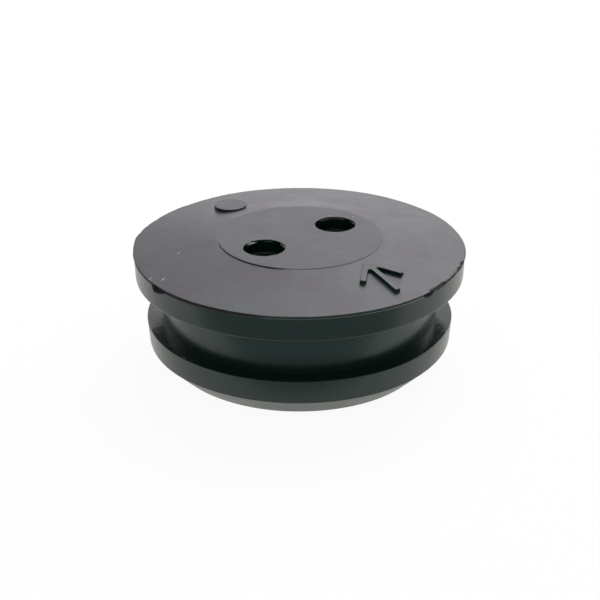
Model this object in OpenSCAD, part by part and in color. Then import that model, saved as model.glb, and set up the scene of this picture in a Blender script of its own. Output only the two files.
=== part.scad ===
// Two-hole rubber grommet for a small tank, moulded in one piece.
// The tank wall sits in the groove, the wide flange stays outside and the lip goes in.
// Origin: centre of the flat bottom face. +Z runs up through the crown,
// and +X runs along the line of the two hose holes.

/* [Neck and groove] */
// Diameter of the neck, which fills the round hole in the wall
neck_d = 20.2; // [17:0.1:30]
// Width of the groove that grips the wall
groove_w = 3.4; // [1.5:0.1:8]
// Radius of the fillets in the corners of the groove
groove_fillet = 0.25; // [0.05:0.05:0.6]

/* [Top flange] */
// How far the top flange stands out past the neck
flange_overhang = 1.9; // [1:0.1:4]
// Thickness of the top flange at its edge
flange_t = 1.75; // [1:0.05:4]
// Radius of the round on the lower edge of the top flange
flange_round = 0.15; // [0.05:0.05:0.4]
// How far the parting lip stands out round the top edge
parting_lip = 0.1; // [0.05:0.05:0.3]
// Height of the parting lip
parting_lip_h = 0.2; // [0.1:0.05:0.5]

/* [Lip and nose] */
// How far the lip under the groove stands out past the neck
lip_overhang = 1.2; // [0.8:0.1:3]
// Thickness of the lip at its edge
lip_t = 1.7; // [1:0.05:4]
// Radius of the rounds on the edges of the lip
lip_round = 0.12; // [0.05:0.01:0.3]
// Height of the tapered nose that leads the lip into the hole
nose_h = 1.6; // [0.8:0.1:5]
// Slope of the nose away from the axis, in degrees
nose_taper = 45; // [20:1:50]
// Radius of the round between the nose and the bottom face
nose_round = 0.2; // [0.05:0.05:0.5]

/* [Mould draft] */
// Taper of the edge of the top flange towards the bottom, in degrees
flange_draft = 1.5; // [0:0.5:5]
// Taper of the edge of the lip towards the bottom, in degrees
lip_draft = 4; // [0:0.5:8]

/* [Crown] */
// Rise of the sloping crown from the flange edge to the pad
crown_rise = 0.62; // [0.2:0.02:2]
// Height of the step round the flat pad
pad_step = 0.06; // [0.03:0.01:0.3]
// Width of the pad outside the hose holes
pad_margin = 1.1; // [0.5:0.1:2]

/* [Hose holes] */
// Distance between the two holes, centre to centre
hole_spacing = 6.8; // [5:0.1:8]
// Diameter of the bore that grips the hose
bore_d = 2.6; // [1.5:0.1:3.4]
// Width of the sloping ledge between the bore and the recess at its mouth
ledge_w = 0.2; // [0.05:0.05:0.5]
// Depth of the recess from the pad to the ledge
mouth_depth = 0.95; // [0.4:0.05:2]
// Width of the edge break where each bore leaves the bottom face
exit_break = 0.15; // [0.05:0.05:0.3]

/* [Locating pip] */
// Diameter of the raised pip on the crown
pip_d = 2.5; // [1:0.1:3]
// Distance from the flange edge in to the middle of the pip
pip_inset = 3.4; // [2:0.1:4]
// Height of the pip over the crown at its middle
pip_rise = 0.26; // [0.1:0.02:0.6]
// Angle of the pip from the line of the holes, in degrees
pip_angle = 88.5; // [0:0.5:359.5]
// Radius of the round on the top edge of the pip
pip_round = 0.08; // [0.02:0.01:0.1]

/* [Hidden] */
$fn = 96;
rubber_colour = [0.13, 0.155, 0.15];
// Overlap of cutting and joined shapes
eps = 0.05;

// Heights from the bottom face up
lip_bottom_z = nose_h;
lip_top_z = lip_bottom_z + lip_t;
groove_top_z = lip_top_z + groove_w;
rim_z = groove_top_z + flange_t;
pad_edge_z = rim_z + crown_rise;
pad_z = pad_edge_z + pad_step;
mouth_floor_z = pad_z - mouth_depth;

// Radii
neck_r = neck_d / 2;
flange_r = neck_r + flange_overhang;
lip_r = neck_r + lip_overhang;
lip_bottom_r = lip_r - lip_t * tan(lip_draft);
nose_r = lip_bottom_r - nose_h * tan(nose_taper);
bore_r = bore_d / 2;
mouth_r = bore_r + ledge_w;
pad_r = hole_spacing / 2 + mouth_r + pad_margin;

// Slope of the crown and the place of the pip on it
crown_slope = crown_rise / (flange_r - pad_r);
pip_r = flange_r - pip_inset;
pip_z = rim_z + pip_inset * crown_slope + pip_rise;
hole_sides = [-1, 1];

function unit(v) = v / norm(v);

// Sliver between the corner p and the circle of radius r that touches both of its sides.
// to_a and to_b are the next points along the two sides.
module corner_sliver(p, to_a, to_b, r) {
    a = unit(to_a - p);
    b = unit(to_b - p);
    half = acos(a * b) / 2;
    leg = r / tan(half);
    centre = p + unit(a + b) * r / sin(half);
    difference() {
        polygon([p, p + a * leg, centre, p + b * leg]);
        translate(centre)
            circle(r);
    }
}

// Half section of the top flange: drafted edge, parting lip, sloping crown and pad.
module flange_section() {
    edge_bottom = [flange_r - flange_t * tan(flange_draft), groove_top_z];
    edge_top = [flange_r, rim_z];
    difference() {
        polygon([[0, groove_top_z], edge_bottom, edge_top, [pad_r, pad_edge_z], [0, pad_edge_z]]);
        corner_sliver(edge_bottom, [neck_r, groove_top_z], edge_top, flange_round);
    }
    parting_foot_z = rim_z - parting_lip_h;
    parting_edge = [flange_r + parting_lip, rim_z - parting_lip * crown_slope];
    polygon([[neck_r, rim_z], parting_edge, [flange_r, parting_foot_z], [neck_r, parting_foot_z]]);
    translate([0, pad_edge_z - eps])
        square([pad_r, pad_step + eps]);
}

// Half section of the neck, with the fillets of the groove.
module neck_section() {
    low = [neck_r, lip_top_z];
    high = [neck_r, groove_top_z];
    translate([0, lip_top_z - eps])
        square([neck_r, groove_w + 2 * eps]);
    corner_sliver(low, high, [lip_r, lip_top_z], groove_fillet);
    corner_sliver(high, low, [flange_r, groove_top_z], groove_fillet);
}

// Half section of the lip and its tapered nose, with rounded edges.
module lip_section() {
    top_inner = [0, lip_top_z];
    top_edge = [lip_r, lip_top_z];
    bottom_edge = [lip_bottom_r, lip_bottom_z];
    nose_edge = [nose_r, 0];
    difference() {
        polygon([[0, 0], nose_edge, bottom_edge, top_edge, top_inner]);
        corner_sliver(top_edge, top_inner, bottom_edge, lip_round);
        corner_sliver(bottom_edge, top_edge, nose_edge, lip_round);
        corner_sliver(nose_edge, bottom_edge, [0, 0], nose_round);
    }
}

// Everything that is round about the axis.
module turned_body() {
    rotate_extrude()
        union() {
            flange_section();
            neck_section();
            lip_section();
        }
}

// Low round pip with a level top and a rounded edge, set into the slope of the crown.
module locating_pip() {
    rotate(pip_angle)
        translate([pip_r, 0, 0])
            rotate_extrude()
                difference() {
                    translate([0, groove_top_z + flange_t / 2])
                        square([pip_d / 2, pip_z - groove_top_z - flange_t / 2]);
                    corner_sliver([pip_d / 2, pip_z], [0, pip_z], [pip_d / 2, rim_z], pip_round);
                }
}

// Cutter for one hose hole: recessed mouth, conical lead-in, gripping bore and broken exit edge.
module hose_hole() {
    translate([0, 0, mouth_floor_z])
        cylinder(h = mouth_depth + eps, r = mouth_r);
    translate([0, 0, mouth_floor_z - ledge_w])
        cylinder(h = ledge_w, r1 = bore_r, r2 = mouth_r);
    translate([0, 0, -eps])
        cylinder(h = mouth_floor_z, r = bore_r);
    translate([0, 0, -eps])
        cylinder(h = exit_break + eps, r1 = bore_r + exit_break + eps, r2 = bore_r);
}

// The whole moulding.
module grommet() {
    color(rubber_colour)
        difference() {
            union() {
                turned_body();
                locating_pip();
            }
            for (side = hole_sides)
                translate([side * hole_spacing / 2, 0, 0])
                    hose_hole();
        }
}

grommet();
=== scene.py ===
"""A moulded two-hole rubber grommet on a pale studio floor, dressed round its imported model.

Shapes are worked out in millimetres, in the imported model's own frame, and scaled to metres
when a mesh is made. Angles run anticlockwise from the line of the two hose holes.
"""

import logging
import math
from dataclasses import dataclass
from enum import Enum
from typing import Any, Sequence

import bpy
import numpy as np
from mathutils import Matrix, Vector, noise
from mathutils.geometry import delaunay_2d_cdt


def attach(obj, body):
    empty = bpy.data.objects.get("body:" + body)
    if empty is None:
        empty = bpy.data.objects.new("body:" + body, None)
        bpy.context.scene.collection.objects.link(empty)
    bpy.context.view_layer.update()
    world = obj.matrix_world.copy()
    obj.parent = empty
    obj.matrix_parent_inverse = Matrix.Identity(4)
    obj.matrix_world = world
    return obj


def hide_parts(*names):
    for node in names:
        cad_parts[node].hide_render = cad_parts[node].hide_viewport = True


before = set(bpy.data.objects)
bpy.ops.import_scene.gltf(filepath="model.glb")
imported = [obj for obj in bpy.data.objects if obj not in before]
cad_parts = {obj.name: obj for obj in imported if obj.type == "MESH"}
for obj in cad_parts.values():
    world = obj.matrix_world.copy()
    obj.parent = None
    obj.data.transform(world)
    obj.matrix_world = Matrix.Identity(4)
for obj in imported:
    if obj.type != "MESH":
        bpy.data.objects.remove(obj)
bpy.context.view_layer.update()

Array = np.ndarray
Triple = tuple[float, float, float]
Span = tuple[float, float]

LOG = logging.getLogger("grommet")
MM = 0.001
BODY = "root"
NODE = "grommet"
TORN = "torn"
VIEW_AZIMUTH = -40.7
HOLE_SIDES = (-1.0, 1.0)
NOISE_STEP = 31.0
PINK = (1.0, 0.93, 0.98)
WHITE = (1.0, 1.0, 1.0)


class Side(Enum):
    """Which way a wall or a flat sheet of a mesh faces."""

    OUT = 1
    IN = -1


def smoothstep(low: float, high: float, value: Array) -> Array:
    """Rises from 0 where the value is low to 1 where it is high, with level ends."""
    t = np.clip((value - low) / (high - low), 0.0, 1.0)
    return t * t * (3.0 - 2.0 * t)


def bell(gap: Array | float, spread: float) -> Array:
    """Returns 1 where the gap is 0, and less on either side of it, over the spread."""
    return np.exp(-((gap / spread) ** 2))


def heading(degrees: float) -> Array:
    """Returns the x and y of the level unit vector at an angle."""
    turn = math.radians(degrees)
    return np.array([math.cos(turn), math.sin(turn)])


def turned(radius: Array | float, angle: Array, height: Array | float) -> Array:
    """Returns points by radius, angle in radians and height, as rows of x, y and z."""
    x, y = radius * np.cos(angle), radius * np.sin(angle)
    return np.stack([x, y, np.broadcast_to(height, x.shape)], axis=1)


def circle(count: int) -> Array:
    """Returns count equal angles round a full turn, in radians."""
    return np.arange(count) * (math.tau / count)


def noise_at(points: Array, pitch: float) -> Array:
    """Returns smooth repeatable noise of that pitch at points, mostly between -0.5 and 0.5."""
    return np.array([noise.noise(Vector(p)) for p in (points / pitch).tolist()])


def placed(name: str, data: Any) -> bpy.types.Object:
    """Makes an object of its data and puts it in the scene."""
    made = bpy.data.objects.new(name, data)
    bpy.context.scene.collection.objects.link(made)
    return made


class Ripple:
    """Smooth repeatable noise round a closed ring: a sum of waves with seeded phases."""

    def __init__(self, seed: int, fewest: int, most: int, fade: float = 0.5) -> None:
        """Draws the waves.

        Args:
            seed: Number that fixes the draw.
            fewest: Fewest waves round the ring.
            most: Most waves round the ring.
            fade: How fast a wave weakens as its count grows.
        """
        draw = np.random.RandomState(seed)
        self.counts = np.unique(np.geomspace(fewest, most, 48).astype(int))
        self.phases = draw.uniform(0.0, math.tau, len(self.counts))
        strengths = draw.normal(0.0, 1.0, len(self.counts)) * (fewest / self.counts) ** fade
        self.strengths = strengths / math.sqrt(float(np.sum(strengths**2)) / 2.0)

    def __call__(self, angle: Array) -> Array:
        """Returns the noise at each angle, with a spread of about 1."""
        return np.cos(np.multiply.outer(angle, self.counts) + self.phases) @ self.strengths


class MeshSketch:
    """Vertices and faces of one mesh, gathered ring by ring, in millimetres."""

    def __init__(self) -> None:
        """Starts with nothing in it."""
        self.points: list[Array] = []
        self.faces: list[tuple[int, ...]] = []
        self.count = 0

    def add(self, points: Array) -> Array:
        """Adds points and returns their indices."""
        first = self.count
        self.points.append(points)
        self.count += len(points)
        return np.arange(first, self.count)

    def tube(self, rings: Sequence[Array], side: Side) -> list[tuple[Array, Array]]:
        """Adds rings of points and joins each to the next one by a band of quads.

        Args:
            rings: Points of each ring, anticlockwise seen from above, from the top down.
            side: OUT for the outside of a body, IN for the wall of a hole.

        Returns:
            The first and the last ring, as indices and points.
        """
        ids = [self.add(ring) for ring in rings]
        for upper, lower in zip(ids, ids[1:]):
            corners = [upper, lower, np.roll(lower, -1), np.roll(upper, -1)]
            quads = np.stack(corners[:: side.value], axis=1)
            self.faces.extend(map(tuple, quads.tolist()))
        return [(ids[0], rings[0]), (ids[-1], rings[-1])]

    def sheet(
        self, rims: Sequence[tuple[Array, Array]], loops: Sequence[Array], loose: Array, side: Side
    ) -> None:
        """Fills the space between closed rims with triangles that keep every given line.

        Args:
            rims: Rings that are in the mesh already, as indices and points, the outer one first.
            loops: Closed lines on the sheet, as new points.
            loose: Single new points of the sheet.
            side: OUT for a sheet that faces up, IN for one that faces down.
        """
        flat = [points for _, points in rims]
        lines: list[tuple[int, int]] = []
        start = 0
        for points in [*flat, *loops]:
            ids = np.arange(start, start + len(points))
            lines.extend(zip(ids.tolist(), np.roll(ids, -1).tolist()))
            start += len(points)
        new = np.concatenate([*loops, loose])
        known = np.concatenate([*(ids for ids, _ in rims), self.add(new)])
        spots = [Vector(p) for p in np.concatenate([*flat, new])[:, :2].tolist()]
        made, _, triangles, origins, _, _ = delaunay_2d_cdt(spots, lines, [], 0, 1e-7)
        assert len(made) == len(spots), "two lines of the sheet cross"
        to_known = [int(known[o[0]]) for o in origins]
        centres = np.array([np.mean([made[i] for i in t], axis=0) for t in triangles])
        keep = np.ones(len(triangles), bool)
        for points in flat[1:]:
            middle = points[:, :2].mean(axis=0)
            reach = float(np.linalg.norm(points[0, :2] - middle))
            keep &= np.linalg.norm(centres - middle, axis=1) > reach
        for t in np.nonzero(keep)[0]:
            face = [to_known[i] for i in triangles[t]]
            self.faces.append(tuple(face[:: side.value]))

    def build(self, name: str, torn: Array) -> bpy.types.Object:
        """Makes the Blender object, in metres.

        Args:
            name: Name of the object.
            torn: How torn the rubber is at each vertex, from 0 to 1.

        Returns:
            The new object, in the scene.
        """
        mesh = bpy.data.meshes.new(name)
        mesh.from_pydata((np.concatenate(self.points) * MM).tolist(), [], self.faces)
        mesh.polygons.foreach_set("use_smooth", [True] * len(mesh.polygons))
        mesh.attributes.new(TORN, "FLOAT", "POINT").data.foreach_set("value", torn)
        mesh.update()
        self.even_shading(mesh)
        return placed(name, mesh)

    def even_shading(self, mesh: bpy.types.Mesh) -> None:
        """Weights each vertex normal by the areas of its faces, so that narrow rounds stay crisp.

        Args:
            mesh: Mesh made from the sketch.
        """
        normals = np.empty((len(mesh.polygons), 3), np.float32)
        areas = np.empty(len(mesh.polygons), np.float32)
        mesh.polygons.foreach_get("normal", normals.ravel())
        mesh.polygons.foreach_get("area", areas)
        owners = np.repeat(np.arange(len(self.faces)), [len(face) for face in self.faces])
        total = np.zeros((self.count, 3))
        np.add.at(total, np.concatenate(self.faces), (normals * (areas / MM**2)[:, None])[owners])
        total /= np.linalg.norm(total, axis=1)[:, None]
        mesh.normals_split_custom_set_from_vertices(total.tolist())


@dataclass(frozen=True)
class Corner:
    """One corner of an outline, with the radius of its round."""

    x: float
    y: float
    round: float = 0.0
    steps: int = 4

    def arc(self, before: Array, after: Array) -> Array:
        """Rounds the corner.

        Args:
            before: Point before it.
            after: Point after it.

        Returns:
            Points of the arc, from the side of before to the side of after.
        """
        spot = np.array([self.x, self.y])
        a = (before - spot) / np.linalg.norm(before - spot)
        b = (after - spot) / np.linalg.norm(after - spot)
        half = math.acos(float(np.clip(a @ b, -1.0, 1.0))) / 2.0
        centre = spot + (a + b) / np.linalg.norm(a + b) * self.round / math.sin(half)
        leg = self.round / math.tan(half)
        first = spot + a * leg - centre
        last = spot + b * leg - centre
        sweep = math.pi - 2.0 * half
        t = np.linspace(0.0, sweep, self.steps + 1)[:, None]
        return centre + (np.sin(sweep - t) * first + np.sin(t) * last) / math.sin(sweep)


def outline(corners: Sequence[Corner], longest: float, closed: bool = False) -> Array:
    """Rounds the corners of an outline and divides its straight runs evenly.

    Args:
        corners: Corners in order. The ends of an open outline stay sharp.
        longest: Longest straight part.
        closed: Whether the outline is a closed loop.

    Returns:
        Points of the outline, as rows of x and y.
    """
    spots = [np.array([c.x, c.y]) for c in corners]
    stops: list[Array] = []
    for i, corner in enumerate(corners):
        at_end = not closed and i in (0, len(corners) - 1)
        if at_end or corner.round == 0.0:
            stops.append(spots[i][None, :])
        else:
            stops.append(corner.arc(spots[i - 1], spots[(i + 1) % len(spots)]))
    line = [stops[0]]
    for stop in [*stops[1:], stops[0]] if closed else stops[1:]:
        start = line[-1][-1]
        run = stop[0] - start
        parts = max(1, math.ceil(float(np.linalg.norm(run)) / longest))
        line.append(start + run * (np.arange(1, parts)[:, None] / parts))
        line.append(stop)
    return np.concatenate(line[:-1] if closed else line)


def offset_loop(loop: Array, distance: Array | float) -> Array:
    """Moves a closed anticlockwise loop outwards by a distance, with mitred corners."""
    forward = np.roll(loop, -1, axis=0) - loop
    normals = np.stack([forward[:, 1], -forward[:, 0]], axis=1)
    normals /= np.linalg.norm(normals, axis=1)[:, None]
    before = np.roll(normals, 1, axis=0)
    mitre = (normals + before) / (1.0 + np.sum(normals * before, axis=1))[:, None]
    return loop + mitre * distance


def distance_to_loop(points: Array, loop: Array) -> Array:
    """Measures how far points lie from a closed loop, whichever side they are on."""
    a = loop[None, :, :]
    run = (np.roll(loop, -1, axis=0) - loop)[None, :, :]
    gap = points[:, None, :2] - a
    t = np.clip(np.sum(gap * run, axis=2) / np.sum(run * run, axis=2), 0.0, 1.0)
    return np.min(np.linalg.norm(gap - run * t[:, :, None], axis=2), axis=1)


def inside_loop(points: Array, loop: Array) -> Array:
    """Tells which points lie inside a closed loop, by counting the crossings of a level line."""
    x, y = points[:, 0, None], points[:, 1, None]
    x1, y1 = loop.T
    x2, y2 = np.roll(loop, -1, axis=0).T
    spans = (y1 > y) != (y2 > y)
    rise = np.where(y2 == y1, 1.0, y2 - y1)
    crossing = x1 + (y - y1) * (x2 - x1) / rise
    return np.sum(spans & (crossing > x), axis=1) % 2 == 1


@dataclass(frozen=True)
class Relief:
    """A raised shape on the crown, with the half width of its sloping side."""

    loop: Array
    highest: float
    half_slope: float
    rise: float = 1.0
    lines: int = 7

    def lift(self, low: Array, share: float = 1.0) -> Array:
        """Raises crown heights by a share of the way to the top of the shape."""
        return low + (np.minimum(low + self.rise, self.highest) - low) * share

    def bands(self) -> list[tuple[Array, float]]:
        """Works out the lines that follow the outline up its side.

        Returns:
            Each line's points, and the share of the full height that it stands at.
        """
        steps = np.linspace(self.half_slope, -self.half_slope, self.lines)
        shares = smoothstep(self.half_slope, -self.half_slope, steps)
        return [(offset_loop(self.loop, float(d)), float(s)) for d, s in zip(steps, shares)]


@dataclass(frozen=True)
class Tear:
    """One place on the rim where the flash tore or stands out, by its angles in degrees."""

    start: float
    full: float
    last: float
    end: float
    bevel: float = 0.0
    notch: float = 0.0
    notch_h: float = 0.0
    bulge: float = 0.0

    def share(self, angle: Array) -> Array:
        """Returns how strongly each angle lies in the place, from 0 to 1."""
        turn = (np.degrees(angle) - self.start) % 360.0
        rise = smoothstep(0.0, self.full - self.start, turn)
        return rise * (1.0 - smoothstep(self.last - self.start, self.end - self.start, turn))


@dataclass(frozen=True)
class Moulding:
    """The whole grommet: turned body, crown with its reliefs, hose holes and torn rim."""

    neck_r: float = 10.1
    neck_taper: float = 0.03
    foot_round: float = 0.008
    groove_w: float = 3.29
    groove_round: float = 0.25
    flange_r: float = 12.0
    waist_r: float = 11.98
    flange_foot_r: float = 11.954
    flange_t: float = 1.86
    flange_round: float = 0.15
    parting_lip: float = 0.1
    parting_drop: float = 0.22
    parting_round: float = 0.12
    lip_r: float = 11.3
    lip_foot_r: float = 11.181
    lip_t: float = 1.7
    lip_round: float = 0.04
    lip_foot_round: float = 0.1
    nose_r: float = 9.581
    nose_h: float = 1.6
    nose_round: float = 0.2

    crown_rise: float = 0.62
    pad_r: float = 6.0
    pad_step: float = 0.06
    pad_side: float = 0.012
    pad_faint: float = 0.012
    pad_swell_w: float = 2.4
    pad_crisp: Tear = Tear(146.0, 158.0, 208.0, 226.0)
    pad_firm: Tear = Tear(218.0, 236.0, 292.0, 312.0)
    firm_share: float = 0.35
    witness: float = 0.04

    pip_r: float = 1.25
    pip_reach: float = 8.6
    pip_angle: float = 88.5
    pip_rise: float = 0.26
    pip_side: float = 0.018
    arrow_reach: float = 6.45
    arrow_angle: float = 271.5
    arrow_heading: float = 78.0
    arrow_length: float = 4.05
    arrow_rise: float = 0.27
    arrow_side: float = 0.025
    arrow_stroke: float = 0.42
    arrow_barb: float = 2.7
    arrow_spread: float = 36.0
    arrow_under_pad: float = 0.005
    arrow_rounds: Triple = (0.1, 0.08, 0.12)
    core_shift: float = 0.1
    core_turn: float = -40.7

    hole_spacing: float = 6.8
    mouth_r: float = 1.5
    mouth_depth: float = 0.97
    mouth_round: float = 0.035
    mouth_collar: float = 0.16
    mouth_wave: float = 0.014
    wave_reach: float = 0.08
    ledge_drop: float = 0.06
    ledge_round: float = 0.03
    bore_r: float = 1.3
    bore_round: float = 0.04
    exit_break: float = 0.15
    exit_collar: float = 0.1
    burr_from: Span = (0.09, 0.17)
    burr_to: Span = (0.18, 0.24)
    burr_foot: float = 0.36
    burr_grain: float = 0.3

    flash: Triple = (0.02, 0.007, 0.012)
    flash_drop: float = 0.07
    flash_spread: float = 0.09
    flash_from: Span = (11.85, 12.05)
    bevel_mean: float = 0.012
    bevel_fine: float = 0.008
    bevel_start: float = 0.02
    bevel_grain: Span = (0.35, 0.25)
    notch_top: float = -0.1
    notch_opens: Span = (-0.10, 0.12)
    notch_closes: Span = (-0.11, -0.03)
    notch_from: Span = (0.0, 0.25)
    notch_grain: float = 0.6
    torn_share: float = 0.8
    torn_from: Span = (0.015, 0.045)
    notched_from: Span = (0.0, 0.03)
    torn_depth: float = 0.03
    lip_edge: Span = (11.1, 11.25)
    foot_edge: Span = (11.0, 11.1)
    under_edge: Span = (11.7, 11.85)
    edge_spread: float = 0.08
    edge_waves: Triple = (0.006, 0.004, 0.006)
    nick_top: float = 0.8
    nick_inset: float = 0.008
    wobble: float = 0.012
    box_gap: float = 0.002

    segments: int = 840
    pad_segments: int = 240
    pip_segments: int = 96
    hole_segments: int = 144
    rim_in: float = 0.4
    rim_down: float = 0.85
    rim_pitch: float = 0.06
    side_pitch: float = 0.42
    coarse_pitch: float = 0.45
    fine_pitch: float = 0.16
    mark_lines: tuple[Span, ...] = ((0.05, 0.0), (0.08, 0.0), (-0.065, 1.0))
    witness_lines: tuple[Span, ...] = ((0.05, 0.6), (0.10, 0.1), (0.16, 0.0))
    pad_hold: float = 0.06
    edge_rings: tuple[tuple[float, int], ...] = ((0.12, 420), (0.35, 240))
    crown_pitch: float = 0.4
    crown_clear: float = 0.7
    crown_middle: float = 0.3
    mark_clear: float = 0.25
    hole_clear: float = 0.5
    arrow_pitch: float = 0.14
    mouth_pitch: float = 0.03
    bore_pitch: float = 0.1
    bore_thinned: Span = (0.4, 0.6)
    bore_kept: int = 6
    bottom_in: float = 0.3
    bottom_rings: tuple[float, ...] = (9.0, 8.0, 7.0, 6.0)
    bottom_pitch: float = 0.8

    tears: tuple[Tear, ...] = (
        Tear(8.0, 20.0, 75.0, 88.0, bulge=0.12),
        Tear(96.0, 101.0, 109.0, 116.0, bulge=0.18),
        Tear(112.0, 123.5, 124.5, 141.0, bulge=0.33),
        Tear(330.0, 345.0, 352.0, 358.0, bulge=0.08),
        Tear(149.0, 155.0, 169.0, 173.5, notch=0.12, notch_h=0.01),
        Tear(172.6, 174.0, 174.6, 183.0, notch=0.30, notch_h=0.42),
        Tear(174.5, 180.0, 184.0, 226.0, notch=0.17, notch_h=0.06),
        Tear(185.0, 210.0, 270.0, 276.0, bevel=0.05),
        Tear(258.6, 259.4, 259.8, 260.6, bevel=0.10),
        Tear(262.9, 263.5, 263.9, 264.5, bevel=0.09),
        Tear(272.0, 275.0, 276.6, 278.5, notch=0.22, notch_h=0.18),
        Tear(275.0, 277.0, 284.0, 291.0, bevel=0.18),
        Tear(283.0, 287.0, 300.0, 309.0, bevel=0.125),
        Tear(295.0, 297.0, 298.0, 300.0, bevel=0.17),
        Tear(300.0, 301.8, 303.4, 305.5, bevel=0.18),
    )
    left_burrs: tuple[Tear, ...] = (
        Tear(64.0, 76.0, 104.0, 118.0, bulge=0.07),
        Tear(20.0, 34.0, 50.0, 68.0, bulge=0.03),
        Tear(-48.0, -36.0, -6.0, 4.0, bulge=0.05),
    )
    right_burrs: tuple[Tear, ...] = (
        Tear(14.0, 26.0, 92.0, 112.0, bulge=0.07),
        Tear(-32.0, -22.0, -2.0, 8.0, bulge=0.05),
    )

    @property
    def lip_z(self) -> float:
        """Height of the lip's level top."""
        return self.nose_h + self.lip_t

    @property
    def groove_z(self) -> float:
        """Height of the groove's upper side."""
        return self.lip_z + self.groove_w

    @property
    def rim_z(self) -> float:
        """Height of the rim, where the crown meets the flange edge."""
        return self.groove_z + self.flange_t

    @property
    def pad_z(self) -> float:
        """Height of the flat pad."""
        return self.rim_z + self.crown_rise + self.pad_step

    @property
    def core_offset(self) -> Array:
        """Small step off the axis that the mould's core leaves in pad, marks and holes."""
        return self.core_shift * heading(self.core_turn)

    def hole_middle(self, side: float) -> Array:
        """Returns the middle of a hose hole: the left one for -1, the right one for 1."""
        return np.array([side * self.hole_spacing / 2.0, 0.0]) + self.core_offset

    def crown_z(self, points: Array) -> Array:
        """Returns the height of the sloping crown, without pad or reliefs, at each point."""
        radius = np.linalg.norm(points[:, :2], axis=1)
        share = (self.flange_r - radius) / (self.flange_r - self.pad_r)
        near = points[:, :2] - self.core_offset
        around = np.arctan2(near[:, 1], near[:, 0])
        crisp = 1.0 - self.pad_crisp.share(around)
        firm = self.firm_share * self.pad_firm.share(around)
        swell = (self.pad_step - self.pad_faint) * (crisp - firm)
        beyond = smoothstep(0.0, self.pad_swell_w, np.linalg.norm(near, axis=1) - self.pad_r)
        return self.rim_z + self.crown_rise * np.minimum(share, 1.0) + swell * (1.0 - beyond)

    def profile(self) -> Array:
        """Returns the turned outline, from the crown near the rim round to the bottom face."""
        slope = self.crown_rise / (self.flange_r - self.pad_r)
        tip_r = self.flange_r + self.parting_lip
        waist = Corner(self.waist_r, self.rim_z - self.rim_down)
        crown_edge = outline(
            [
                Corner(self.flange_r - self.rim_in, self.rim_z + self.rim_in * slope),
                Corner(tip_r, self.rim_z - self.parting_lip * slope, self.parting_round, 6),
                Corner(self.flange_r, self.rim_z - self.parting_drop, self.parting_round, 3),
                waist,
            ],
            self.rim_pitch,
        )
        below = outline(
            [
                waist,
                Corner(self.flange_foot_r, self.groove_z, self.flange_round, 5),
                Corner(self.neck_r - self.neck_taper, self.groove_z, self.groove_round, 5),
                Corner(self.neck_r + self.neck_taper, self.lip_z, self.foot_round, 2),
                Corner(self.lip_r, self.lip_z, self.lip_round, 3),
                Corner(self.lip_foot_r, self.nose_h, self.lip_foot_round, 4),
                Corner(self.nose_r, 0.0, self.nose_round, 5),
                Corner(self.nose_r - self.bottom_in, 0.0),
            ],
            self.side_pitch,
        )
        return np.concatenate([crown_edge, below[1:]])

    def wear(self, rings: Array, angle: Array) -> tuple[Array, Array]:
        """Tears the flash along the rim and roughens the edges of flange and lip.

        Args:
            rings: Points of all the turned rings, one ring a row.
            angle: Angle of each column, in radians.

        Returns:
            The worn rings, and how torn each point is.
        """
        radius = np.linalg.norm(rings[:, :, :2], axis=2)
        height = rings[:, :, 2].copy()
        near_rim = height > self.rim_z - self.rim_down + self.rim_pitch / 4.0
        coarse = np.zeros_like(radius)
        fine = np.zeros_like(radius)
        coarse[near_rim] = noise_at(rings[near_rim], self.coarse_pitch)
        fine[near_rim] = noise_at(rings[near_rim] + NOISE_STEP, self.fine_pitch)

        mean, fast, slow = self.flash
        flash = fast * Ripple(11, 24, 300, 0.3)(angle) + slow * Ripple(12, 3, 12)(angle) + mean
        bulge = sum(tear.bulge * tear.share(angle) for tear in self.tears)
        over_rim = height - self.rim_z
        at_tip = bell(over_rim + self.flash_drop, self.flash_spread)
        radius += at_tip * smoothstep(*self.flash_from, radius) * (flash + bulge)

        bevel = self.bevel_mean + self.bevel_fine * Ripple(13, 40, 400, 0.2)(angle)
        notched = np.zeros_like(radius)
        for tear in self.tears:
            share = tear.share(angle)
            bevel = np.maximum(bevel, tear.bevel * share)
            if tear.notch:
                foot = self.notch_top - tear.notch_h * share
                window = smoothstep(*self.notch_opens, over_rim - foot)
                window *= 1.0 - smoothstep(*self.notch_closes, over_rim)
                window *= smoothstep(*self.notch_from, share)
                depth = tear.notch * window * (1.0 + self.notch_grain * coarse)
                notched = np.maximum(notched, depth)
        radius -= notched
        tip_r = self.flange_r + self.parting_lip
        beyond = (radius - tip_r + over_rim) / math.sqrt(2.0)
        grain = self.bevel_grain[0] * coarse + self.bevel_grain[1] * fine
        cut = beyond + bevel * (1.0 + grain) + self.bevel_start
        shaved = near_rim * np.maximum(0.0, cut) / math.sqrt(2.0)
        torn = self.torn_share * smoothstep(*self.torn_from, shaved)
        torn = np.maximum(torn, smoothstep(*self.notched_from, notched))
        rough = torn * self.torn_depth * (coarse + fine)
        radius = radius - shaved + rough
        height = height - shaved + 0.5 * rough

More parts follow.
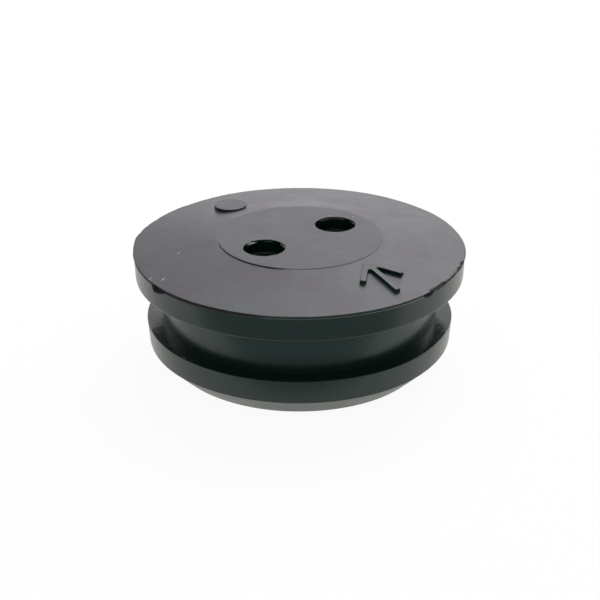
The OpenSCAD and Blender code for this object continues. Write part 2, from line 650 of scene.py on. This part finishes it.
        nicks = np.minimum(Ripple(14, 60, 420, 0.2)(angle), self.nick_top)
        lip, foot, under = self.edge_waves
        for z, sets_in, shift in (
            (self.lip_z, self.lip_edge, lip * nicks - self.nick_inset),
            (self.nose_h, self.foot_edge, foot * Ripple(15, 50, 400, 0.2)(angle)),
            (self.groove_z, self.under_edge, under * Ripple(16, 50, 400, 0.2)(angle)),
        ):
            near = bell(height - z, self.edge_spread) * smoothstep(*sets_in, radius)
            radius += near * shift
        radius += self.wobble * Ripple(17, 2, 9)(angle)
        reach = tip_r - self.box_gap
        radius = np.minimum(radius, reach / np.maximum(abs(np.cos(angle)), abs(np.sin(angle))))
        return np.stack([radius * np.cos(angle), radius * np.sin(angle), height], axis=2), torn

    def arrow_loop(self) -> Array:
        """Returns the outline of the raised arrow, which points in to the pad."""
        half = self.arrow_stroke / 2.0
        spread = math.radians(self.arrow_spread)
        back = np.array([-math.cos(spread), math.sin(spread)])
        outer = np.array([math.sin(spread), math.cos(spread)])
        tip = half / math.sin(spread)
        inner_u = -half * math.sin(spread) - half * (1.0 + math.cos(spread)) / math.tan(spread)
        at_tip, at_end, inside = self.arrow_rounds
        upper = [
            Corner(*(back * self.arrow_barb + outer * half), at_end, 3),
            Corner(*(back * self.arrow_barb - outer * half), at_end, 3),
            Corner(inner_u, half, inside, 3),
            Corner(-self.arrow_length, half, at_end, 3),
        ]
        lower = [Corner(c.x, -c.y, c.round, c.steps) for c in reversed(upper)]
        corners = [Corner(tip, 0.0, at_tip, 3), *upper, *lower]
        flat = outline(corners, self.arrow_pitch, closed=True)
        c, s = heading(self.arrow_heading)
        middle = self.arrow_reach * heading(self.arrow_angle) + self.core_offset
        return (flat - [tip, 0.0]) @ np.array([[c, s], [-s, c]]) + middle

    def reliefs(self) -> list[Relief]:
        """Returns the raised shapes of the crown: the round pip and the arrow."""
        middle = self.pip_reach * heading(self.pip_angle) + self.core_offset
        pip = turned(self.pip_r, circle(self.pip_segments), 0.0)[:, :2] + middle
        pip_z = float(self.crown_z(middle[None, :])[0]) + self.pip_rise
        arrow_z = self.pad_z - self.arrow_under_pad
        return [
            Relief(pip, pip_z, self.pip_side),
            Relief(self.arrow_loop(), arrow_z, self.arrow_side, self.arrow_rise),
        ]

    def on_relief(self, relief: Relief, line: Array, share: float) -> Array:
        """Gives a line on the crown its heights, raised by a share of a relief's rise."""
        return np.column_stack([line, relief.lift(self.crown_z(line), share)])

    def crown_lines(self) -> tuple[list[Array], Array]:
        """Lays out the lines and loose points of the crown sheet.

        Returns:
            Closed lines, and loose points, with their heights.
        """
        around = circle(self.pad_segments)
        pad_loop = turned(self.pad_r, around, 0.0)[:, :2] + self.core_offset
        crisp = self.pad_crisp.share(around)
        marks = self.reliefs()
        reliefs = [Relief(pad_loop, self.pad_z, self.pad_side, lines=5), *marks]
        loops = [self.on_relief(relief, *band) for relief in reliefs for band in relief.bands()]
        loops[0][:, 2] -= self.witness * crisp
        for mark in marks:
            for distance, share in self.mark_lines:
                loops.append(self.on_relief(mark, offset_loop(mark.loop, distance), share))
        for gap, share in self.witness_lines:
            line = offset_loop(pad_loop, self.pad_side + gap)
            level = self.crown_z(line) - self.witness * crisp * share
            loops.append(np.column_stack([line, level]))
        inner = offset_loop(pad_loop, -self.pad_side - self.pad_hold)
        loops.append(self.on_relief(reliefs[0], inner, 1.0))
        edge = self.flange_r - self.rim_in
        for gap, count in self.edge_rings:
            ring = turned(edge - gap, circle(count), 0.0)
            ring[:, 2] = self.crown_z(ring)
            loops.append(ring)
        return loops, self.crown_points(reliefs)

    def crown_points(self, reliefs: Sequence[Relief]) -> Array:
        """Spreads loose points over the crown, clear of its lines.

        Args:
            reliefs: The pad and the raised shapes.

        Returns:
            The points, with their heights.
        """
        loose: list[Array] = []
        edge = self.flange_r - self.rim_in - self.crown_clear
        for i, r in enumerate(np.arange(edge, self.crown_middle, -self.crown_pitch)):
            count = max(6, int(math.tau * r / self.crown_pitch))
            loose.append(turned(r, circle(count) + i * 0.5 * math.tau / count, 0.0))
        points = np.concatenate(loose)
        keep = np.ones(len(points), bool)
        for relief in reliefs:
            clear = relief.half_slope + self.mark_clear
            keep &= distance_to_loop(points, relief.loop) > clear
        for side in HOLE_SIDES:
            gap = np.linalg.norm(points[:, :2] - self.hole_middle(side), axis=1)
            keep &= gap > self.mouth_r + self.hole_clear
        points = points[keep]
        points[:, 2] = self.crown_z(points)
        for relief in reliefs:
            inside = inside_loop(points, relief.loop)
            points[inside, 2] = relief.lift(points[inside, 2])
        return points

    def hole_profile(self) -> Array:
        """Returns the outline of a hose hole, from the pad down to the bottom face."""
        ledge_z = self.pad_z - self.mouth_depth
        turning = Corner(self.mouth_r, self.pad_z - self.burr_foot)
        exit_r = self.bore_r + self.exit_break
        upper = [
            Corner(self.mouth_r + self.mouth_collar, self.pad_z),
            Corner(self.mouth_r, self.pad_z, self.mouth_round, 3),
            turning,
        ]
        lower = [
            turning,
            Corner(self.mouth_r, ledge_z, self.ledge_round, 2),
            Corner(self.bore_r, ledge_z - self.ledge_drop, self.bore_round, 2),
            Corner(self.bore_r, self.exit_break, self.bore_round, 2),
            Corner(exit_r, 0.0, self.bore_round, 2),
            Corner(exit_r + self.exit_collar, 0.0),
        ]
        below = outline(lower, self.bore_pitch)[1:]
        line = np.concatenate([outline(upper, self.mouth_pitch), below])
        low, high = self.bore_thinned
        bore = (line[:, 1] > low) & (line[:, 1] < ledge_z - high)
        return line[~bore | (np.cumsum(bore) % self.bore_kept == 0)]

    def hole_rings(self, side: float) -> list[Array]:
        """Works out the rings of one hose hole, from the pad down to the bottom face.

        Args:
            side: -1 for the left hole, 1 for the right one.

        Returns:
            Points of each ring.
        """
        angle = circle(self.hole_segments)
        seam = Ripple(21 + int(side), 5, 60, 0.3)(angle)
        burrs = self.left_burrs if side < 0.0 else self.right_burrs
        burr = sum(place.bulge * place.share(angle) for place in burrs)
        burr = burr * (1.0 + self.burr_grain * seam)
        rings = []
        for r, z in self.hole_profile():
            depth = self.pad_z - z
            stage = smoothstep(*self.burr_from, depth) * (1.0 - smoothstep(*self.burr_to, depth))
            moved = self.mouth_wave * bell(depth, self.wave_reach) * seam - burr * stage
            ring = turned(r + moved * (r < self.mouth_r + self.mouth_collar), angle, z)
            ring[:, :2] += self.hole_middle(side)
            rings.append(ring)
        return rings

    def build(self) -> bpy.types.Object:
        """Builds the closed mesh of the whole moulding.

        Returns:
            The grommet's object.
        """
        sketch = MeshSketch()
        angle = circle(self.segments)
        rings = np.array([turned(r, angle, z) for r, z in self.profile()])
        worn, torn = self.wear(rings, angle)
        ends = [sketch.tube(worn, Side.OUT)]
        ends += [sketch.tube(self.hole_rings(side), Side.IN) for side in HOLE_SIDES]
        tops, bottoms = zip(*ends)
        sketch.sheet(tops, *self.crown_lines(), Side.OUT)
        counts = [(r, int(math.tau * r / self.bottom_pitch)) for r in self.bottom_rings]
        spread = [turned(r, circle(count), 0.0) for r, count in counts]
        sketch.sheet(bottoms, [], np.concatenate(spread), Side.IN)
        mask = np.zeros(sketch.count)
        mask[: torn.size] = torn.ravel()
        return sketch.build("grommet_moulding", mask)

    def dress(self, piece: bpy.types.Object, finish: "RubberFinish") -> None:
        """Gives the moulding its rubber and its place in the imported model.

        Args:
            piece: The grommet's object.
            finish: The rubber.
        """
        piece.data.materials.append(finish.material())
        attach(piece, BODY)
        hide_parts(NODE)


class Graph:
    """Node tree of a material or of the world, with one way to add a node."""

    def __init__(self, tree: bpy.types.NodeTree) -> None:
        """Empties the tree."""
        self.tree = tree
        tree.nodes.clear()

    def node(
        self, kind: str, inputs: dict[str | int, Any] | None = None, **settings: Any
    ) -> bpy.types.Node:
        """Adds a node. Its settings are set before its sockets.

        Args:
            kind: Type of the node, without ShaderNode.
            inputs: Values or links of its sockets, by name or number.
            settings: Properties of the node.

        Returns:
            The node.
        """
        made = self.tree.nodes.new("ShaderNode" + kind)
        for name, value in settings.items():
            setattr(made, name, value)
        for name, value in (inputs or {}).items():
            socket = made.inputs[name]
            if isinstance(value, Number):
                self.tree.links.new(value.socket, socket)
            elif isinstance(value, bpy.types.NodeSocket):
                self.tree.links.new(value, socket)
            elif isinstance(value, tuple) and len(value) == 3 and socket.type == "RGBA":
                socket.default_value = (*value, 1.0)
            else:
                socket.default_value = value
        return made

    def number(self, output: str | int, kind: str, *parts: Any, **settings: Any) -> "Number":
        """Adds a node and returns one of its outputs as a number."""
        return Number(self, self.node(kind, *parts, **settings).outputs[output])

    def vector(self, operation: str, inputs: dict[str | int, Any]) -> Any:
        """Adds a Vector Math node and returns its outputs."""
        return self.node("VectorMath", inputs, operation=operation).outputs

    def rays(self) -> tuple["Number", "Number"]:
        """Tells the rays of the camera and of reflections from the rays that only carry light.

        Returns:
            Two numbers: 1 for a ray that shows things, and 1 for a ray of a reflection.
        """
        path = self.node("LightPath").outputs
        mirrored = Number(self, path["Is Glossy Ray"])
        seen = Number(self, path["Is Camera Ray"]).larger(mirrored)
        return seen.larger(Number(self, path["Is Transmission Ray"])), mirrored

    def mix(self, share: "Number | float", low: Any, high: Any) -> bpy.types.NodeSocket:
        """Returns the colour between low, where the share is 0, and high, where it is 1."""
        parts = {0: share, 6: low, 7: high}
        return self.node("Mix", parts, data_type="RGBA").outputs[2]


class Number:
    """A number on a socket, which ordinary arithmetic turns into Math nodes."""

    def __init__(self, graph: Graph, socket: bpy.types.NodeSocket) -> None:
        """Wraps a socket."""
        self.graph = graph
        self.socket = socket

    def _math(self, operation: str, *values: "Number | float") -> "Number":
        """Adds a Math node over the values and returns its result."""
        parts = dict(enumerate(values))
        return self.graph.number(0, "Math", parts, operation=operation)

    def __add__(self, other: "Number | float") -> "Number":
        """Adds."""
        return self._math("ADD", self, other)

    __radd__ = __add__

    def __sub__(self, other: "Number | float") -> "Number":
        """Subtracts."""
        return self._math("SUBTRACT", self, other)

    def __rsub__(self, other: "Number | float") -> "Number":
        """Subtracts from a plain number."""
        return self._math("SUBTRACT", other, self)

    def __mul__(self, other: "Number | float") -> "Number":
        """Multiplies."""
        return self._math("MULTIPLY", self, other)

    __rmul__ = __mul__

    def __pow__(self, power: "Number | float") -> "Number":
        """Raises to a power."""
        return self._math("POWER", self, power)

    def larger(self, other: "Number | float") -> "Number":
        """Returns the larger of the two."""
        return self._math("MAXIMUM", self, other)

    def step(self, low: float, high: float) -> "Number":
        """Rises smoothly from 0 at low to 1 at high."""
        parts = {"Value": self, "From Min": low, "From Max": high}
        smooth = {"interpolation_type": "SMOOTHSTEP"}
        return self.graph.number(0, "MapRange", parts, **smooth)


@dataclass(frozen=True)
class Speck:
    """One pale speck: a fleck of dirt, or one of the painted glints at the left hole; its place
    and size in millimetres, its turn, and how pale it is.
    """

    place: Triple
    length: float
    width: float
    turn: float = 0.0
    share: float = 1.0
    soft_edge: Span = (0.6, 1.15)

    def mask(self, graph: Graph, here: bpy.types.NodeSocket) -> Number:
        """Works out where the speck lies.

        Args:
            graph: Node tree of the material.
            here: Position on the piece, in millimetres.

        Returns:
            How pale the speck makes each point, from 0 to its share.
        """
        size = (self.length / 2.0, self.width / 2.0, self.width)
        turn = (0.0, 0.0, math.radians(self.turn))
        parts = {"Vector": here, "Location": self.place, "Rotation": turn, "Scale": size}
        moved = graph.node("Mapping", parts, vector_type="TEXTURE").outputs[0]
        reach = Number(graph, graph.vector("LENGTH", {0: moved})["Value"])
        return self.share * (1.0 - reach.step(*self.soft_edge))


@dataclass(frozen=True)
class RubberFinish:
    """Satin black rubber as it leaves the mould, rough where the flash has torn."""

    deep: Triple = (0.0040, 0.0315, 0.0272)
    # Painted shade: near-black green for the hole walls, the sides of pip and arrow, and the
    # groove under the flange.
    shaded: Triple = (0.0010, 0.0190, 0.0135)
    # Painted light: a lighter green on the neck's sides, standing in for the light they reflect.
    neck_painted_light: Triple = (0.0110, 0.0490, 0.0460)
    # Painted sheen: a purplish tint for the level crown faces, laid on in noise patches.
    painted_sheen: Triple = (0.0110, 0.0085, 0.0185)
    torn: Triple = (0.0300, 0.0270, 0.0330)
    # Pale colour of dirt flecks, also used for the painted glints at the left hole.
    dust_and_glint: Triple = (0.62, 0.62, 0.60)
    specks_and_glints: tuple[Speck, ...] = (
        Speck((-11.17, 1.25, 8.53), 0.50, 0.10, 20.0, 0.95),
        Speck((-8.02, 3.82, 8.78), 0.36, 0.09, 16.0, 0.9),
        Speck((-11.66, 2.05, 8.47), 0.52, 0.16, 16.0, 0.4),
        Speck((4.34, 1.56, 9.13), 0.10, 0.10, share=0.6),
        Speck((5.56, 0.21, 9.13), 0.11, 0.09),
        Speck((-3.46, -2.57, 9.13), 0.08, 0.08, share=0.6),
        # Painted glints on the left hole's mouth rim and on its burrs.
        Speck((-3.36, 1.40, 9.11), 0.80, 0.10, -7.5, 0.6),
        Speck((-3.36, 1.38, 8.98), 0.95, 0.15, -5.0, 0.85),
        Speck((-1.91, -0.42, 8.98), 0.80, 0.12, 76.0, 0.35),
        Speck((5.79, -10.20, 8.42), 0.60, 0.12, 30.0, 0.1),
    )
    roughness: float = 0.42
    side_roughness: float = 0.26
    neck_roughness: float = 0.25
    lip_roughness: float = 0.14
    nose_roughness: float = 0.38
    dust_and_glint_roughness: float = 0.4
    torn_roughness: Span = (0.5, 0.3)
    ior: float = 1.5
    level_up: Span = (0.6, 0.95)
    crown_z: Span = (8.2, 8.4)
    flange_z: Span = (7.9, 8.1)
    sheen_patch_from: Span = (0.25, 0.60)
    hole_r: Span = (9.8, 9.95)
    hole_z: Span = (0.5, 0.6)
    neck_foot_z: Span = (3.1, 3.25)
    neck_top_z: Span = (6.5, 6.65)
    shade_foot_z: Span = (3.15, 3.3)
    shade_top_z: Span = (3.5, 4.9)
    nose_z: Span = (1.45, 1.7)
    fleck_size: Span = (0.03, 0.05)
    fleck_lot: Span = (0.86, 0.90)
    fleck_share: float = 0.4
    fleck_cells: Triple = (0.9, 0.35, 0.9)

    def material(self) -> bpy.types.Material:
        """Builds the node material.

        Returns:
            The rubber material.
        """
        made = bpy.data.materials.new("moulded_rubber")
        made.use_nodes = True
        graph = Graph(made.node_tree)
        here = graph.node("TexCoord").outputs["Object"]
        place = graph.vector("SCALE", {0: here, "Scale": 1.0 / MM})[0]

        def noise_of(scale: float, detail: float, rough: float = 0.5) -> Number:
            """Returns noise with so many bumps a millimetre."""
            parts = {"Vector": place, "Scale": scale, "Detail": detail, "Roughness": rough}
            return graph.number(0, "TexNoise", parts)

        tear = graph.number("Fac", "Attribute", attribute_name=TORN)
        clouds = noise_of(0.28, 3.0, 0.55)
        mottle = noise_of(1.6, 4.0, 0.6)
        grain = noise_of(14.0, 3.0, 0.6)
        waves = noise_of(0.55, 2.0)
        crumbs = noise_of(7.0, 4.0, 0.7)
        facing = graph.node("NewGeometry").outputs["Normal"]
        up = graph.number("Z", "SeparateXYZ", {0: facing})
        x, y, z = (graph.number(axis, "SeparateXYZ", {0: place}) for axis in "XYZ")
        level = up.step(*self.level_up)
        side = 1.0 - level
        # Masks for painted shade: steep sides inside the holes and round pip and arrow, and the
        # groove under the flange.
        inner = side * (1.0 - ((x * x + y * y) ** 0.5).step(*self.hole_r)) * z.step(*self.hole_z)
        groove = z.step(*self.shade_foot_z) * (1.0 - z.step(*self.shade_top_z))
        neck = z.step(*self.neck_foot_z) * (1.0 - z.step(*self.neck_top_z))

        # Painted sheen on the level crown faces, in noise patches.
        sheen_patches = level * z.step(*self.crown_z) * (clouds * 0.6 + mottle * 0.4).step(*self.sheen_patch_from)
        colour = graph.mix(sheen_patches, self.deep, self.painted_sheen)
        # Painted light on the neck's sides.
        colour = graph.mix(neck * side, colour, self.neck_painted_light)
        # Painted shade in those hollows.
        colour = graph.mix(inner.larger(groove), colour, self.shaded)
        colour = graph.mix(tear, colour, self.torn)

        sides = self.side_roughness
        roughness = sides + neck * (self.neck_roughness - sides)
        roughness += (1.0 - z.step(*self.nose_z)) * (self.nose_roughness - sides)
        roughness += level * z.step(*self.flange_z) * (self.roughness - sides)
        roughness += level * neck * (self.lip_roughness - self.neck_roughness)
        roughness += 0.07 * (mottle - 0.5) + 0.10 * (clouds - 0.5)
        least, crumbly = self.torn_roughness
        roughness += tear * (least + crumbly * crumbs)

        stretched = graph.vector("MULTIPLY", {0: place, 1: self.fleck_cells})[0]
        cells = graph.node("TexVoronoi", {"Vector": stretched, "Scale": 0.8}).outputs
        lot = graph.number("X", "SeparateXYZ", {0: cells["Color"]})
        size = Number(graph, cells["Distance"]) + 0.10 * (crumbs - 0.5)
        fleck = self.fleck_share * level * (1.0 - size.step(*self.fleck_size))
        fleck *= lot.step(*self.fleck_lot)
        # Each speck is a fleck of dirt, except the painted glints at the left hole.
        for speck in self.specks_and_glints:
            fleck = fleck.larger(speck.mask(graph, place))
        colour = graph.mix(fleck, colour, self.dust_and_glint)
        roughness += fleck * self.dust_and_glint_roughness

        height = 0.0016 * grain + 0.003 * mottle + 0.022 * waves + 0.05 * tear * crumbs
        height += 0.02 * fleck
        bumps = {"Height": height, "Distance": MM, "Strength": 1.0}
        normal = graph.node("Bump", bumps).outputs[0]
        looks = {"Base Color": colour, "Roughness": roughness, "IOR": self.ior, "Normal": normal}
        shader = graph.node("BsdfPrincipled", looks)
        graph.node("OutputMaterial", {"Surface": shader.outputs[0]})
        return made


@dataclass(frozen=True)
class StudioFloor:
    """Pale floor that the grommet stands on. Cameras and reflections see it nearly white."""

    half_width: float = 0.6
    glow: float = 0.94
    lit: float = 0.08
    bounce: float = 0.75
    far_side: float = 0.39
    mirror_tint: Triple = (0.97, 0.955, 0.90)
    fade: Span = (-0.0165, -0.0125)

    def build(self) -> bpy.types.Object:
        """Builds the floor.

        Returns:
            The floor's object.
        """
        mesh = bpy.data.meshes.new("studio_floor")
        w = self.half_width
        mesh.from_pydata([(-w, -w, 0), (w, -w, 0), (w, w, 0), (-w, w, 0)], [], [(0, 1, 2, 3)])
        floor = placed("studio_floor", mesh)
        return floor

    def dress(self, floor: bpy.types.Object) -> None:
        """Gives the floor its material: it glows for the camera and is matt for light.

        Args:
            floor: The floor's object.
        """
        material = bpy.data.materials.new("pale_floor")
        material.use_nodes = True
        graph = Graph(material.node_tree)
        seen, mirrored = graph.rays()
        here = graph.node("TexCoord").outputs["Object"]
        away = (*heading(VIEW_AZIMUTH + 90.0), 0.0)
        along = Number(graph, graph.vector("DOT_PRODUCT", {0: here, 1: away})["Value"])
        level = 1.0 - mirrored * (1.0 - along.step(*self.fade)) * (1.0 - self.far_side)
        tint = graph.mix(mirrored, WHITE, self.mirror_tint)
        glow = {"Color": tint, "Strength": level * self.glow}
        white = graph.node("Emission", glow)
        shade = graph.mix(level, (0.0, 0.0, 0.0), (self.lit,) * 3)
        pale = graph.node("BsdfDiffuse", {"Color": shade})
        shown = graph.node("AddShader", {0: white.outputs[0], 1: pale.outputs[0]})
        real = graph.node("BsdfDiffuse", {"Color": (self.bounce,) * 3})
        parts = {0: seen, 1: real.outputs[0], 2: shown.outputs[0]}
        both = graph.node("MixShader", parts)
        graph.node("OutputMaterial", {"Surface": both.outputs[0]})
        floor.data.materials.append(material)


@dataclass(frozen=True)
class Softbox:
    """One square studio lamp, placed round the grommet and aimed at it."""

    name: str
    azimuth: float
    elevation: float
    width: float
    level: float
    distance: float = 0.40
    aim_height: float = 0.005
    tint: Triple = PINK

    def build(self) -> bpy.types.Object:
        """Builds the lamp.

        Returns:
            The lamp's object.
        """
        lamp = bpy.data.lights.new(self.name, "AREA")
        lamp.shape = "SQUARE"
        lamp.size = self.width
        lamp.color = self.tint
        lamp.energy = self.level * math.pi * self.width**2
        lift = math.radians(self.elevation)
        x, y = math.cos(lift) * heading(self.azimuth)
        way = Vector((x, y, math.sin(lift)))
        made = placed(self.name, lamp)
        made.location = Vector((0.0, 0.0, self.aim_height)) + way * self.distance
        made.rotation_euler = way.to_track_quat("Z", "Y").to_euler()
        return made


@dataclass(frozen=True)
class StudioAir:
    """Soft light from all round: white to cameras and reflections, dimmer as light.

    Reflections see it darker beside and behind the camera.
    """

    shown: float = 1.0
    light: float = 0.32
    front: float = 0.12
    front_from: Span = (-0.65, -0.2)

    def build(self) -> None:
        """Sets up the world."""
        world = bpy.data.worlds.new("studio_air")
        world.use_nodes = True
        bpy.context.scene.world = world
        graph = Graph(world.node_tree)
        seen, mirrored = graph.rays()
        way = graph.node("TexCoord").outputs["Generated"]
        near = (*heading(VIEW_AZIMUTH - 90.0), 0.0)
        facing = Number(graph, graph.vector("DOT_PRODUCT", {0: way, 1: near})["Value"])
        dark = mirrored * facing.step(*self.front_from) * (1.0 - self.front)
        strength = self.light + seen * (self.shown - self.light) * (1.0 - dark)
        sky = graph.node("Background", {"Color": WHITE, "Strength": strength})
        graph.node("OutputWorld", {"Surface": sky.outputs[0]})


@dataclass(frozen=True)
class PhotoCamera:
    """Camera at the photograph's place, as distances in millimetres and angles in degrees."""

    azimuth: float = VIEW_AZIMUTH
    distance: float = 79.99
    height: float = 41.87
    pitch: float = 25.36
    yaw: float = 0.037
    roll: float = -0.162
    focal_px: float = 1187.2
    frame_px: float = 600.0
    sensor: float = 36.0
    farthest: float = 10000.0

    def build(self) -> bpy.types.Object:
        """Builds the camera and makes it the scene's own.

        Returns:
            The camera's object.
        """
        lens = bpy.data.cameras.new("photo_camera")
        lens.sensor_width = self.sensor
        lens.lens = self.focal_px / self.frame_px * self.sensor
        lens.clip_start = MM
        lens.clip_end = self.farthest * MM
        pitch, yaw, roll = map(math.radians, (self.pitch, self.yaw, self.roll))
        level = math.cos(pitch)
        ahead = Vector((math.sin(yaw) * level, math.cos(yaw) * level, -math.sin(pitch)))
        right = Vector((math.cos(yaw), -math.sin(yaw), 0.0))
        up = right.cross(ahead)
        tilted_right = right * math.cos(roll) + up * math.sin(roll)
        tilted_up = up * math.cos(roll) - right * math.sin(roll)
        turn = Matrix.Rotation(math.radians(self.azimuth), 4, "Z")
        pose = Matrix((tilted_right, tilted_up, -ahead)).transposed().to_4x4()
        pose.translation = Vector((0.0, -self.distance, self.height)) * MM
        camera = placed("photo_camera", lens)
        camera.matrix_world = turn @ pose
        bpy.context.scene.camera = camera
        return camera


def main() -> None:
    """Builds the camera, the grommet and the studio, in that order."""
    logging.basicConfig(level=logging.INFO, format="%(name)s: %(message)s")
    PhotoCamera().build()

    moulding = Moulding()
    piece = moulding.build()
    moulding.dress(piece, RubberFinish())
    mesh = piece.data
    LOG.info("%s: %d vertices, %d faces", piece.name, len(mesh.vertices), len(mesh.polygons))

    studio = StudioFloor()
    studio.dress(studio.build())
    StudioAir().build()
    for box in (
        Softbox("back_low_softbox", 47.3, 10.0, 0.18, 0.95),
        Softbox("back_right_softbox", 17.3, 44.0, 0.22, 4.1),
        Softbox("back_high_softbox", 54.3, 56.0, 0.22, 2.9),
    ):
        lamp = box.build()
        LOG.info("%s: %.2f W", lamp.name, lamp.data.energy)
    bpy.context.scene.view_settings.view_transform = "Standard"


if __name__ == "__main__":
    main()
